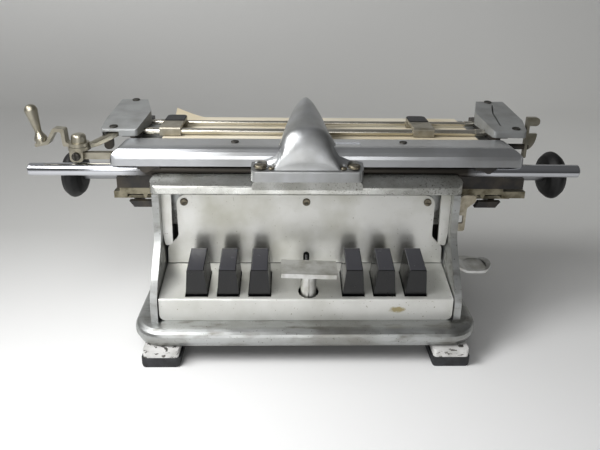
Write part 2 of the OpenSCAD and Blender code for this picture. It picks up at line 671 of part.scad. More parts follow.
module spring_drum() color("#7d7f80") placed() translate([-75, 112, well_z - 22]) difference() {
    rotate_extrude() polygon([[3 + run, 0], [22, 0], [22, 1.5], [20.5, 1.5], [20.5, 12], [22, 12],
        [22, 13.5],
        [3 + run, 13.5]]);
    for (a = [0:60:300]) rotate([0, 0, a]) translate([12, 0, -1]) cylinder(h = 20, d = 6);
}

// Wall fittings

module side_bracket() color("#b3aa93") placed() difference() {
    union() {
        along_y(60, 62.5) polygon(rounded([
            [body_w / 2 + seat, well_z - 16], [body_w / 2 + 11.5, well_z - 16, 2],
            [body_w / 2 + 12, well_z + 5, 3], [body_w / 2 + 19, well_z + 11, 3],
            [body_w / 2 + 19, well_z + 16.5, 3], [body_w / 2 + 8, well_z + 16.5, 4],
            [body_w / 2 + seat, well_z + 8]]));
        block([body_w / 2 + seat, 60, well_z - 16], [body_w / 2 + 1.8, 68, well_z + 8]);
    }
    block([body_w / 2 + 4, 50, well_z - 9], [body_w / 2 + 9.5, 70, well_z - 1.5]);
}

// The thumb tab bends down from its slot to a dished tongue
module side_tab() color("#aaa9a2") placed() difference() {
    union() {
        rod_y(tab_y - 4.8, tab_y + 4.8, tab_x, tab_z, 8);
        intersection() {
            along_y(tab_y - 20, tab_y + 20) polygon(rounded(bent([
                [tab_x, tab_z], [body_w / 2 + 7, tab_z], [body_w / 2 + 15, tab_z - 4],
                [body_w / 2 + 32, tab_z - 4.4], [body_w / 2 + 40, tab_z - 1.6]], 2.2, 4)));
            along_z(tab_z - 12, tab_z + 8) polygon(rounded([
                [tab_x, tab_y - 4.8], [body_w / 2 + 3, tab_y - 4.8, 3], [body_w / 2 + 6, tab_y - 15, 5],
                [body_w / 2 + 39, tab_y - 15, 13], [body_w / 2 + 39, tab_y + 12, 13],
                [body_w / 2 + 6, tab_y + 12, 5], [body_w / 2 + 3, tab_y + 4.8, 3], [tab_x, tab_y + 4.8]]));
        }
    }
    rod_y(tab_y - 10, tab_y + 10, tab_x, tab_z, 4 + 2 * run);
    // Dished top of the tongue
    translate([body_w / 2 + 27, tab_y - 1.5, tab_z - 3]) scale([11, 10, 1.1]) sphere(1);
}

// Carriage

// The cover's shape, with c taken off its outside
module cover_body(c) intersection() {
    along_x(-cover_l / 2 + c, cover_l / 2 - c) polygon(rounded([
        [cover_y0 + c, cover_z0 - 1], [cover_y1 - c, cover_z0 - 1],
        [cover_y1 - c, cover_z1 - c, 3], [cover_y0 + c, cover_z1 - c, 9 - c]]));
    along_y(cover_y0 - 1, cover_y1 + 1) polygon(rounded([
        [-cover_l / 2 + c, cover_z0 - 1], [cover_l / 2 - c, cover_z0 - 1],
        [cover_l / 2 - c, cover_z1 - c, 14 - c], [-cover_l / 2 + c, cover_z1 - c, 14 - c]], 8));
    along_z(cover_z0 - (c > 0 ? 1 : 0), cover_z1 + 1) polygon(rounded([for (q = [[-1, 0], [1, 0],
        [1, 1], [-1, 1]])
        [q.x * (cover_l / 2 - c), q.y == 0 ? cover_y0 + c : cover_y1 - c, q.y == 0 ? 6 : 3]]));
}

module carriage_cover() color("#c3c5c8") on_carriage() difference() {
    cover_body(0);
    cover_body(cover_t);
    // Inset for the cell scale, to the right of the head
    block([13, cover_y0 + 8, cover_z1 - 0.8], [35, cover_y0 + 20, cover_z1 + 1]);
}

module carriage_frame() color("#2f2e2d") on_carriage() difference() {
    union() {
        // Front beam, up into the cover, with its long lower part
        block([-plate_x, beam_y0, rack_z1], [plate_x, beam_y0 + beam_t, cover_z1 - cover_t - seat]);
        block([-beam_left, beam_y0, rack_z1], [beam_right, beam_y0 + beam_t, beam_z1]);
        // Rear beam with its two shoes on the rear rail
        block([-plate_x, rear_y, well_z + rail_h + 3],
            [plate_x, rear_y + rear_t, table_z1 - table_t - seat]);
        for (x = [-50, 50]) block([x - 10, rear_y - 2.5, well_z + 2],
            [x + 10, rear_y + rear_t + 2.5, well_z + rail_h + 6]);
        both_sides() {
            // End plates, with saddles for the paper rods in their top edge
            along_x(plate_x, plate_x + plate_t) polygon([
                [beam_y0, rack_z1], [beam_y0, cover_z0 - 0.6], [cover_y1 + 1, cover_z0 - 0.6],
                [cover_y1 + 1, housing_z0 - 0.3], [plate_back, housing_z0 - 0.3], [plate_back, well_z + 10],
                [118, well_z + 3.5], [100, well_z + 7], [86, well_z + 13], [80, rack_z1]]);
            // Bearing shoes over the guide bar, each with a wedge before it
            block([127, cover_y0 + cover_t + 0.4, bar_z + 2], [145, beam_y0 + 1, cover_z1 - 13]);
            along_y(cover_y0 + 0.4, bar_y - 4) polygon([[128, cover_z0 - seat], [144, cover_z0 - seat],
                [142, bar_z + 1.6], [139.5, bar_z - 0.2], [137, bar_z - 0.2]]);
            // Rails that carry the housings
            block([plate_x + plate_t - 1, housing_y0 + 6, housing_z0 - 2.2],
                [plate_x + plate_t + 9, plate_back, housing_z0 - seat]);
        }
        // Stub of the release lever
        rod_x(plate_x + plate_t - 1, release_x + 3.6, 99, bar_z + 9.4, 5);
        // Slanted stops under both ends of the rack, on straps below the end plates
        both_sides() {
            along_y(beam_y0 + 0.5, beam_y0 + beam_t) polygon([[139, rack_z0 - 3],
                [plate_x + 5, rack_z0 - 3],
                [plate_x + 1, well_z + 1], [136, well_z + 1]]);
            block([plate_x - 4, beam_y0 + beam_t - 1, well_z + 1.5], [plate_x + 0.8, 90, rack_z0 - 3.2]);
            block([plate_x, 82, well_z + 1.5], [plate_x + plate_t, 90, well_z + 14]);
        }
        // Black pawl arm that hangs from the left-hand rail
        along_y(99, 102) polygon(rounded([[-184, bar_z + 5, 3.5], [-176, bar_z + 5, 3.5],
            [-176, bar_z + 17, 2], [-plate_x - plate_t - 8, bar_z + 17.5],
                [-plate_x - plate_t - 8, housing_z0 - 0.2],
            [-184, housing_z0 - 0.2, 2]]));
    }
    rod_x(-200, 200, bar_y, bar_z, bar_d + 2 * run);
    rod_x(-200, 200, roller_y, roller_z, axle_d + 2 * run);
    rod_x(-200, 200, rod_y1, rod_z, rod_d1 + 2 * run);
    rod_x(-200, 200, rod_y2, rod_z, rod_d2 + 2 * run);
    for (x = [-50, 50]) block([x - 20, rear_y - 0.1, well_z],
        [x + 20, rear_y + rear_t + 0.1, well_z + rail_h + 0.2]);
}

// The right-hand end housing, with c taken off its outside: its outer side is
// set in by f at the front and out by g behind
module housing_shape(c, f, g) intersection() {
    along_z(housing_z0 - (c > 0 ? 1 : 0), housing_z0 + 60) polygon(rounded([
        [housing_x0 + 1.2 + c, housing_y0 + c, 3], [housing_x0 + housing_w - f - c, housing_y0 + c, 3],
        [housing_x0 + housing_w + g - c, housing_y0 + 26, 8],
            [housing_x0 + housing_w + g - c, housing_y1 - c, 5],
        [housing_x0 + 10 + c, housing_y1 - c, 4], [housing_x0 - 0.8 + c, housing_y1 - 34, 8]]));
    along_x(housing_x0 - 1, housing_x0 + housing_w + g + 1) polygon(rounded([
        [housing_y0 + c, housing_z0 - 2], [housing_y1 - c, housing_z0 - 2],
        [housing_y1 - c, housing_z1 - c + housing_d * tan(housing_tilt), 3],
            [housing_y0 + c, housing_z1 - c, 2]]));
}

module housing(f, g) difference() {
    housing_shape(0, f, g);
    housing_shape(housing_t, f, g);
    for (r = [[rod_y1, rod_d1], [rod_y2, rod_d2]]) rod_x(housing_x0 - 5, housing_x0 + 14, r.x, rod_z,
        r.y + 0.5);
}

module left_housing() color("#a4a6a7") on_carriage() difference() {
    mirror([1, 0, 0]) housing(1.5, 0.7);
    // Way in for the line lever's bracket
    block([-housing_x0 - housing_w + 2.6, housing_y0 - 1, housing_z0 - 1],
        [-housing_x0 - 16.8, housing_y0 + 5, housing_z1 - housing_t]);
}

module right_housing() color("#a4a6a7") on_carriage() difference() {
    housing(3.5, 2.5);
    // Slot in the roof
    along_z(housing_z0 + 4, housing_z0 + 60) polygon(strip([housing_x0 + 11, housing_y0 + 12],
        [housing_x0 + 15, housing_y1 - 36], 1.6));
    along_z(housing_z0 + 4, housing_z0 + 60) polygon(strip([housing_x0 + 14.6, housing_y1 - 36.6],
        [housing_x0 + 22, housing_y1 - 12], 1.6));
}

module carriage_screws() color("#77756c") on_carriage() {
    for (x = [-68, 71]) translate([x, cover_y0 + 19, cover_z1]) screw(6.4, 0.9);
    for (s = [-1, 1], q = [[22, 5], [20, 74]])
        translate([s * (housing_x0 + q.x), housing_y0 + q.y, housing_z1 + q.y * tan(housing_tilt) + 0.05])
        rotate([housing_tilt, 0, 0]) screw(7, 0.9);
    translate([hub_x - 1.1, hub_y - 6, bar_z + 10.8]) rotate([90, 90, 0]) screw(7, 2);
}

// Rack tooth outline on the pitch line, thinned so that it runs free
tooth_half = rack_pitch * 0.21;

// Rack with its end blocks, and the lower rail that they carry behind the teeth
module escapement_rack() color("#6f6557") on_carriage() {
    along_y(beam_y0, beam_y0 + beam_t - 0.5) {
        polygon([[-beam_left + 2, rack_z0 + tooth_h], [-beam_left + 2, rack_z1 - seat],
            [beam_right - 17, rack_z1 - seat], [beam_right - 17, rack_z0 + tooth_h]]);
        n = floor((plate_x - 6) / rack_pitch);
        for (i = [-n:n]) polygon([
            [rack_phase + i * rack_pitch - tooth_half - 0.75, rack_z0 + tooth_h + 0.01],
            [rack_phase + i * rack_pitch + tooth_half + 0.75, rack_z0 + tooth_h + 0.01],
            [rack_phase + i * rack_pitch + tooth_half - 0.5, rack_z0],
            [rack_phase + i * rack_pitch - tooth_half + 0.5, rack_z0]]);
    }
    block([beam_right - 17.5, beam_y0, rack_z0 + 0.5], [beam_right + 2.5, rail_y1, rack_z0 + 6.5]);
    block([beam_right - 17.5, rail_y0, rack_z0 - 2.5], [beam_right - 8, rail_y1, rack_z0 + 1]);
    block([-beam_left - 3, beam_y0, rack_z0], [-beam_left + 8, rail_y1, rack_z0 + 6]);
    block([-beam_left - 2, rail_y0 + 0.1, rack_z0 - 2.5], [beam_right - 8, rail_y1, rack_z0]);
}

// A rack tooth stands over the wheel's middle at rest, the wheel has a gap there
rack_phase = wheel_x - carriage_x - rack_pitch * round((wheel_x - carriage_x) / rack_pitch);

// Involute flank of the escapement wheel from its base circle outwards
base_r = wheel_r * cos(20);
function flank(r) = let(a = sqrt(max(0, pow(r / base_r, 2) - 1))) a * 180 / PI - atan(a);
wheel_half = 90 / wheel_teeth * 0.84;
wheel_rs = [for (i = [0:4]) max(base_r, wheel_r - tooth_h / 2) + (wheel_r + tooth_h / 2 - 0.25
    - max(base_r, wheel_r - tooth_h / 2)) * i / 4];

module escapement_wheel() color("#9b8a62") placed() translate([wheel_x, 0, wheel_z]) {
    along_y(beam_y0 + 0.5, beam_y0 + 4.5) union() {
        circle(r = wheel_r - tooth_h / 2 - 0.6);
        for (i = [0:wheel_teeth - 1]) rotate(90 + (i + 0.5) * 360 / wheel_teeth) polygon(concat(
            [[wheel_r - tooth_h, -1.4]],
            [for (r = wheel_rs) r * [cos(wheel_half + flank(wheel_r) - flank(r)),
                -sin(wheel_half + flank(wheel_r) - flank(r))]],
            [for (j = [4:-1:0]) let(r = wheel_rs[j]) r * [cos(wheel_half + flank(wheel_r) - flank(r)),
                sin(wheel_half + flank(wheel_r) - flank(r))]],
            [[wheel_r - tooth_h, 1.4]]));
    }
    rod_y(lid_back + 0.3, beam_y0 + 0.5, 0, 0, 10);
    rod_y(lid_back - 6, beam_y0 + 7, 0, 0, 5);
}

module paper_table() color("#9c9e9f") on_carriage() difference() {
    block([-plate_x + seat, cover_y1 + 2, table_z1 - table_t], [plate_x - seat, table_y1, table_z1]);
    block([-112, rod_y1 + 5, 0], [112, guide_y1 + 1.5, 400]);
    both_sides() block([plate_x - 4, plate_back - 1, 0], [plate_x + 10, table_y1 + 5, 400]);
}

module paper_sheet() color("#e4dcc0") on_carriage()
    block([4.5 - paper_w / 2, cover_y1 + 3, paper_z0],
        [4.5 + paper_w / 2, table_y1 + 4, paper_z0 + paper_t]);

module paper_rods() color("#c8c6bd") on_carriage() for (r = [[rod_y1, rod_d1], [rod_y2, rod_d2]]) {
    rod_x(-plate_x - plate_t, plate_x + plate_t, r.x, rod_z, r.y);
    both_sides() rod_x(housing_x0 - 8, housing_x0 - 1.2, r.x, rod_z, r.y + 1.2);
}

// A clip that slides along both rods and holds the paper down
module paper_guide(x) on_carriage() difference() {
    translate([x, 0, 0]) intersection() {
        along_x(-guide_w / 2, guide_w / 2) polygon(rounded([
            [rod_y1 - 5, paper_z0 + paper_t + 0.5, 1], [rod_y1 + 5, paper_z0 + paper_t + 0.5, 1],
            [rod_y1 + 5, rod_z + 3], [rod_y2 - 4, rod_z + 3], [rod_y2 - 4, paper_z0 + paper_t + 0.5, 1],
            [rod_y2 + 4, paper_z0 + paper_t + 0.5, 1], [rod_y2 + 4, rod_z + 5.8, 2],
                [rod_y1 - 5, rod_z + 5, 2]]));
        along_z(paper_z0, rod_z + 10) polygon(rounded([[-guide_w / 2, rod_y1 - 6],
            [guide_w / 2, rod_y1 - 6],
            [guide_w / 2, rod_y2 + 4, 4], [-guide_w / 2, rod_y2 + 4, 4]]));
    }
    rod_x(-200, 200, rod_y1, rod_z, rod_d1 + 2 * run);
    rod_x(-200, 200, rod_y2, rod_z, rod_d2 + 2 * run);
}

module left_paper_guide() color("#b5b2a8") paper_guide(left_guide_x);

module right_paper_guide() color("#b5b2a8") paper_guide(right_guide_x);

module feed_roller() color("#3a3a3c") on_carriage() difference() {
    rod_x(-plate_x + 6.2, plate_x - 0.6, roller_y, roller_z, roller_d);
    rod_x(-plate_x, plate_x, roller_y, roller_z, axle_d + 2 * run);
}

module roller_axle() color("#c9c9c4") on_carriage() union() {
    rod_x(-knob_x0 - knob_w + 2, knob_x0 + knob_w - 2, roller_y, roller_z, axle_d);
    both_sides() rod_x(plate_x + plate_t + 0.4, plate_x + plate_t + 8, roller_y, roller_z, axle_d + 1.6);
}

// A barrel-shaped knob with a small flat face on each side
module knob() translate([knob_x0, roller_y, roller_z]) rotate([0, 90, 0]) difference() {
    rotate_extrude() polygon(rounded([
        [0, 0], [knob_d * 0.27, 0, 1], [knob_d * 0.4, knob_w * 0.08, 4], [knob_d / 2, knob_w * 0.4, 6],
        [knob_d / 2, knob_w * 0.62, 5], [knob_d * 0.4, knob_w * 0.94, 4], [knob_d * 0.27, knob_w, 1],
        [0, knob_w]], 4));
    translate([0, 0, -1]) cylinder(h = knob_w - 0.8, d = axle_d + 2 * run);
}

module left_knob() color("#17171a") on_carriage() mirror([1, 0, 0]) knob();

module right_knob() color("#17171a") on_carriage() knob();

// Ratchet for the line spacing, between the roller and the left-hand end plate
module ratchet_wheel() color("#57554f") on_carriage() translate([-plate_x + 0.6, roller_y, roller_z])
    rotate([0, 90, 0]) difference() {
        union() {
            linear_extrude(3.5) polygon([for (i = [0:19]) each [
                15.2 * [cos(i * 18), sin(i * 18)], 12.8 * [cos(i * 18 + 3), sin(i * 18 + 3)]]]);
            translate([0, 0, 3.4]) cylinder(h = 2, d = axle_d + 8);
        }
        translate([0, 0, -1]) cylinder(h = 20, d = axle_d + 2 * run);
    }

// Line lever

// A block on the bar's end, an arm that climbs into the left-hand housing, and a link to the cover
module lever_bracket() color("#8d8b7d") on_carriage() {
    along_z(bracket_z0, bracket_z1) polygon(strip([hub_x, hub_y], [hub_x + 9, hub_y + 10.5], 8));
    hull() {
        translate([hub_x + 9, hub_y + 10.5, bracket_z0]) cylinder(h = 3, r = 4);
        translate([-housing_x0 - 20, housing_y0 + 5, housing_z0]) cylinder(h = 2.8, r = 4);
    }
    block([-housing_x0 - 22, housing_y0 + 4, housing_z0],
        [-plate_x - plate_t - 1, housing_y0 + 12, housing_z0 + 2.8]);
    along_z(bracket_z0, bracket_z1) translate([hub_x, hub_y]) circle(r = 8.6);
    along_y(hub_y - 6, hub_y + 6) polygon(rounded([[hub_x - 6.3, bar_top + 0.8, 3],
        [hub_x + 4.1, bar_top + 0.8, 3],
        [hub_x + 4.1, bracket_z0 + 1], [hub_x - 6.3, bracket_z0 + 1]]));
    block([hub_x + 3, hub_y - 2, bar_z + 7.4], [-cover_l / 2 - 0.3, hub_y + 3, bar_z + 13]);
    translate([hub_x, hub_y, bracket_z1 - 1]) cylinder(h = 8, d = 5);
}

// A point in the grip's own leaning frame, as x and z
function leaning(u, w) = [grip_x + u * cos(grip_lean) - w * sin(grip_lean),
    grip_z + u * sin(grip_lean) + w * cos(grip_lean)];

module line_lever() color("#a5a38f") on_carriage() {
    difference() {
        union() {
            translate([hub_x, hub_y, arm_z]) cylinder(h = arm_t, r = 8);
            translate([hub_x, hub_y, arm_z]) rotate_extrude() polygon(rounded([
                [0, 0], [6, 0], [5.6, 9.8, 2.6], [0, 9.8]]));
            along_y(hub_y - 4, hub_y + 4) polygon(rounded(bent([
                [hub_x, arm_z + arm_t / 2], [hub_x - 10.2, arm_z + arm_t / 2], [hub_x - 11, arm_z + 13],
                [hub_x - 17.5, arm_z + 13.6], leaning(5.5, -1.6), leaning(-4.5, -1.6)], arm_t, 1.5)));
        }
        translate([hub_x, hub_y, arm_z - 1]) cylinder(h = 8.4, d = 5 + 2 * run);
    }
    translate([grip_x, hub_y, grip_z]) rotate([0, -grip_lean, 0]) {
        translate([0, 0, -1.5]) cylinder(h = 2.9, d = grip_d - 1);
        cylinder(h = 12, d = grip_pin_d);
    }
}

module lever_grip() color("#b9b6a6") on_carriage() translate([grip_x, hub_y, grip_z]) rotate([0,
    -grip_lean, 0])
    difference() {
        rotate_extrude() polygon(concat([[0, 1.6]],
            [for (i = [0:16]) let(t = i / 16) [
                grip_d / 2 * (t < 0.3 ? 0.78 + 0.25 * cos(600 * t) : 0.53 + 0.47 * (t - 0.3) / 0.7),
                1.6 + (grip_l - 1.6 - grip_d * 0.4) * t]],
            arc([0, grip_l - grip_d * 0.4], grip_d / 2, 10, 80, 6)));
        cylinder(h = 12.4, d = grip_pin_d + 2 * run);
    }

module release_lever() color("#8b8982") on_carriage() difference() {
    translate([release_x, 0, 0]) {
        along_x(0, 2.2) polygon(rounded([[96.4, bar_z - 1, 2.5], [101.6, bar_z - 1, 2.5],
            [101.8, bar_z + 36.2, 2], [96.4, bar_z + 36.2, 2]]));
        // Finger plate at the top
        along_y(97, 101) polygon(rounded([[0, bar_z + 28.6], [11, bar_z + 28.6, 3.5],
            [11, bar_z + 36.2, 3.5],
            [0, bar_z + 36.2]]));
        // Quarter-round cam below it
        along_y(97.5, 100.5) polygon(concat([[1, bar_z + 6], [1, bar_z + 21.5]],
            [for (a = [90:-10:0]) [1 + 9 * sin(a), bar_z + 6.5 + 15 * (1 - cos(a))]]));
    }
    rod_x(housing_x0, release_x + 3.7, 99, bar_z + 9.4, 5 + 2 * run);
}

body_casting();
bottom_pan();
foot_blocks();
rubber_feet();
key_deck();
back_panel();
side_strips();
body_screws();
top_cover();
head_hood();
die_block();
rear_cover();
guide_bar();
rear_rail();
key_axle();
pin_guide();
for (k = keys) {
    key_cap(k);
    key_lever(k);
    emboss_pin(k);
}
space_plate();
space_lever();
side_bracket();
side_tab();
escapement_wheel();
spring_drum();
carriage_cover();
carriage_frame();
left_housing();
right_housing();
carriage_screws();
escapement_rack();
paper_table();
paper_sheet();
paper_rods();
left_paper_guide();
right_paper_guide();
feed_roller();
roller_axle();
left_knob();
right_knob();
ratchet_wheel();
lever_bracket();
line_lever();
lever_grip();
release_lever();
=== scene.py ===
import math

import bmesh
import bpy
from mathutils import Matrix, Vector


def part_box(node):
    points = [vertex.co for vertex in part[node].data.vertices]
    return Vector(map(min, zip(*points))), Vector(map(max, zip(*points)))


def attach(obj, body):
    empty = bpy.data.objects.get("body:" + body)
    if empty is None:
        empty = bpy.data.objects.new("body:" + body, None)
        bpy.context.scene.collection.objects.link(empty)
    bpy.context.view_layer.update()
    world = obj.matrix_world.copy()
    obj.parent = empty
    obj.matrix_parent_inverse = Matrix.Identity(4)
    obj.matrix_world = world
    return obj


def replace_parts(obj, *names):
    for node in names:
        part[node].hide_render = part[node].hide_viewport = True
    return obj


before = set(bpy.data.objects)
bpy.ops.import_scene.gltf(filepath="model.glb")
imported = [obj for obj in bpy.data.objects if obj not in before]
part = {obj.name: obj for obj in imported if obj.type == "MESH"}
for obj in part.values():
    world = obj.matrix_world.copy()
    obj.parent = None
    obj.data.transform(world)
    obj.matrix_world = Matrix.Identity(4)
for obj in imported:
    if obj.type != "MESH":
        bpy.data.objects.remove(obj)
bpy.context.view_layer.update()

# Camera. The photograph was taken from a little left of the middle, looking down at the
# keys, with a moderate wide lens held slightly askew. The machine stands straight here, so
# the camera goes round it by the small turn that the machine had.
look_down = math.radians(17.41)
machine_turn = math.radians(1.45)
camera_roll = math.radians(0.72)
image_width = 600
focal_length = 560  # in pixels of that image
axis_offset = -75  # pixels between the lens axis and the middle of the image
# Places in millimetres from the middle of the nose of the base, with y towards the back
eye = Vector((-5.9, -370.7, 293.0))
turned_about = Vector((0, 55, 0))
part_origin = Vector((0.5, 87.25, 0))
turn_back = Matrix.Rotation(-machine_turn, 3, "Z")
eye = turn_back @ (eye - turned_about) + turned_about - part_origin
ahead = Vector((0, math.cos(look_down), -math.sin(look_down)))
upright = Vector((0, math.sin(look_down), math.cos(look_down)))
level = Vector((1, 0, 0))
camera_right = level * math.cos(camera_roll) + upright * math.sin(camera_roll)
camera_up = upright * math.cos(camera_roll) - level * math.sin(camera_roll)
axes = Matrix((camera_right, camera_up, -ahead)).transposed()
camera = bpy.data.objects.new("camera", bpy.data.cameras.new("camera"))
camera.data.sensor_width = 36
camera.data.lens = camera.data.sensor_width * focal_length / image_width
camera.data.shift_y = axis_offset / image_width
camera.data.clip_start = 0.02
camera.data.clip_end = 20
camera.matrix_world = Matrix.Translation(eye / 1000) @ (turn_back @ axes).to_4x4()
bpy.context.scene.collection.objects.link(camera)
bpy.context.scene.camera = camera

# Body casting. Base rim, side walls and cross web are one sand casting in aluminium,
# ground and buffed by hand. It has gone grey and patchy where hands and dust reach it, with
# small pits and darker smears. Faces that look down are painted near black as shade, which
# darkens the floor beneath the base.
def from_hex(colour):
    """An sRGB hex colour as linear red, green, blue and alpha."""
    parts = [int(colour[i:i + 2], 16) / 255 for i in (1, 3, 5)]
    return [c / 12.92 if c <= 0.04045 else ((c + 0.055) / 1.055) ** 2.4 for c in parts] + [1]


def add(tree, kind, settings=None, links=None):
    """Adds a node: settings are its properties and sockets, links go from sockets into it."""
    made = tree.nodes.new(kind)
    for name, value in (settings or {}).items():
        if isinstance(name, str) and hasattr(made, name):
            setattr(made, name, value)
        else:
            made.inputs[name].default_value = value
    for name, source in (links or {}).items():
        tree.links.new(source, made.inputs[name])
    return made


def start(name, colour, metallic, roughness=0.5, ior=1.5):
    """A new material and its shader, with the values that are the same all over."""
    material = bpy.data.materials.new(name)
    material.use_nodes = True
    shader = material.node_tree.nodes["Principled BSDF"]
    shader.inputs["Base Color"].default_value = from_hex(colour)
    shader.inputs["Metallic"].default_value = metallic
    shader.inputs["Roughness"].default_value = roughness
    shader.inputs["IOR"].default_value = ior
    return material, shader


def clouds(shader, size_mm, detail, low, high, stretch=(1, 1, 1)):
    """Soft patches about size_mm across: 0 where the noise is below low, 1 above high."""
    tree = shader.id_data
    place = add(tree, "ShaderNodeTexCoord")
    scaled = add(tree, "ShaderNodeMapping", {"Scale": stretch}, {"Vector": place.outputs["Object"]})
    noise = add(tree, "ShaderNodeTexNoise", {"Scale": 1000 / size_mm, "Detail": detail},
                {"Vector": scaled.outputs["Vector"]})
    ramp = add(tree, "ShaderNodeMapRange", {1: low, 2: high, "clamp": True},
               {0: noise.outputs["Fac"]})
    return ramp.outputs["Result"]


def tilt(shader, from_rise, to_rise):
    """Picks faces by how far they look up, -1 to 1: 0 at from_rise, 1 at to_rise."""
    tree = shader.id_data
    place = add(tree, "ShaderNodeTexCoord")
    normal = add(tree, "ShaderNodeSeparateXYZ", None, {0: place.outputs["Normal"]})
    ramp = add(tree, "ShaderNodeMapRange", {1: from_rise, 2: to_rise, "clamp": True},
               {0: normal.outputs["Z"]})
    return ramp.outputs["Result"]


def tint(shader, patches, colour):
    """Lays a colour over those that the surface has so far, where the patches reach 1."""
    tree = shader.id_data
    surface = shader.inputs["Base Color"]
    mix = add(tree, "ShaderNodeMix", {"data_type": "RGBA", 7: from_hex(colour)}, {0: patches})
    if surface.is_linked:
        tree.links.new(surface.links[0].from_socket, mix.inputs[6])
    else:
        mix.inputs[6].default_value = surface.default_value
    tree.links.new(mix.outputs[2], surface)


def vary(shader, value, patches, low, high):
    """Lets a value of the finish, such as its roughness, go from low to high with patches."""
    tree = shader.id_data
    scaled = add(tree, "ShaderNodeMapRange", {3: low, 4: high}, {0: patches})
    tree.links.new(scaled.outputs["Result"], shader.inputs[value])


def relief(shader, patches, depth_mm, strength):
    """Lets patches stand depth_mm proud in the shading."""
    tree = shader.id_data
    bump = add(tree, "ShaderNodeBump", {"Strength": strength, "Distance": depth_mm / 1000},
               {"Height": patches})
    tree.links.new(bump.outputs["Normal"], shader.inputs["Normal"])


def wear(material, *names):
    """Gives CAD nodes a material."""
    for name in names:
        for place in part[name].material_slots:
            place.link = "OBJECT"
            place.material = material


buffed_casting, shader = start("buffed_cast_aluminium", "#b4b6b5", 1)
smears = clouds(shader, 30, 5, 0.45, 0.75, (0.6, 1, 1))
tint(shader, smears, "#86857f")
scuffs = clouds(shader, 7, 6, 0.52, 0.68, (0.35, 1, 1))
tint(shader, scuffs, "#8b8a85")
pits = clouds(shader, 1.6, 2, 0.66, 0.74)
tint(shader, pits, "#716f69")
# Painted shade: faces that look down are tinted near black, so the floor under the base stays dark.
painted_underside_shade = tilt(shader, -0.7, -0.92)
tint(shader, painted_underside_shade, "#1d1c1b")
vary(shader, "Roughness", clouds(shader, 18, 4, 0.35, 0.7), 0.32, 0.46)
relief(shader, clouds(shader, 4, 4, 0.2, 0.9), 0.1, 0.3)
wear(buffed_casting, "body_casting")

# Top cover. The same casting, but damp has freckled it with fine dark specks. They stand in
# crowds, and between the crowds it is smoother and mirrors more.
freckled_casting, shader = start("freckled_cast_aluminium", "#c2c3bf", 1)
tint(shader, clouds(shader, 22, 4, 0.4, 0.75), "#97968e")
freckles = clouds(shader, 1.4, 3, 0.55, 0.68)
crowd = clouds(shader, 26, 3, 0.42, 0.62)
marks = add(shader.id_data, "ShaderNodeMath", {"operation": "MULTIPLY"}, {0: freckles, 1: crowd})
tint(shader, marks.outputs["Value"], "#6f6c63")
vary(shader, "Roughness", crowd, 0.27, 0.34)
relief(shader, clouds(shader, 4, 4, 0.2, 0.9), 0.1, 0.3)
wear(freckled_casting, "top_cover")

# Foot blocks. Cast stubs under the corners, once painted white; the paint is rubbed and
# chipped down to grey metal, and the rims of the chips catch the light.
chipped_paint, shader = start("chipped_white_paint", "#dedddb", 0, 0.55)
tint(shader, clouds(shader, 9, 4, 0.4, 0.8), "#b5b4b0")
chips = clouds(shader, 4, 6, 0.6, 0.63, (1, 1, 2.2))
tint(shader, chips, "#6f6d69")
vary(shader, "Metallic", chips, 0.0, 0.7)
relief(shader, chips, 0.15, 0.6)
wear(chipped_paint, "foot_blocks")

# Pads and bottom pan. Moulded black rubber under each block, dull and a little dusty, and a
# pressed pan in black enamel that closes the body from below.
foot_rubber, shader = start("moulded_foot_rubber", "#1b1c1e", 0, 0.62)
tint(shader, clouds(shader, 9, 4, 0.4, 0.7), "#35363a")
wear(foot_rubber, "rubber_feet")
pan_enamel, shader = start("black_pan_enamel", "#1c1c1d", 0, 0.4)
relief(shader, clouds(shader, 3, 3, 0.2, 0.8), 0.05, 0.3)
wear(pan_enamel, "bottom_pan")

# Back panel and side strips. Sheet aluminium with a satin finish that mirrors the keys in a
# blur. It is clouded by old polish, and speckled brown where oil has dried on it.
satin_sheet, shader = start("satin_aluminium_sheet", "#dededa", 0.9)
film = clouds(shader, 38, 4, 0.4, 0.74)
tint(shader, film, "#bbbaae")
specks = clouds(shader, 1.8, 2, 0.71, 0.76)
tint(shader, specks, "#8b8778")
vary(shader, "Roughness", clouds(shader, 25, 4, 0.3, 0.7), 0.3, 0.4)
wear(satin_sheet, "back_panel", "side_strips")

# Key deck. The same sheet, folded over the front, but rubbed by hands to a paler and more
# even bloom, with a small rusty stain on its front.
def blot(shader, centre, size):
    """From 1 at a spot, given in the part's own metres, to 0 outside a ragged ellipsoid."""
    tree = shader.id_data
    place = add(tree, "ShaderNodeTexCoord")
    moved = add(tree, "ShaderNodeVectorMath", {"operation": "SUBTRACT", 1: centre},
                {0: place.outputs["Object"]})
    scaled = add(tree, "ShaderNodeVectorMath", {"operation": "DIVIDE", 1: size},
                 {0: moved.outputs["Vector"]})
    length = add(tree, "ShaderNodeVectorMath", {"operation": "LENGTH"},
                 {0: scaled.outputs["Vector"]})
    ragged = add(tree, "ShaderNodeTexNoise", {"Scale": 400, "Detail": 3},
                 {"Vector": place.outputs["Object"]})
    reach = add(tree, "ShaderNodeMath", {"operation": "ADD"},
                {0: length.outputs["Value"], 1: ragged.outputs["Fac"]})
    fade = add(tree, "ShaderNodeMapRange", {1: 1.1, 2: 1.6, 3: 1, 4: 0, "clamp": True},
               {0: reach.outputs["Value"]})
    return fade.outputs["Result"]


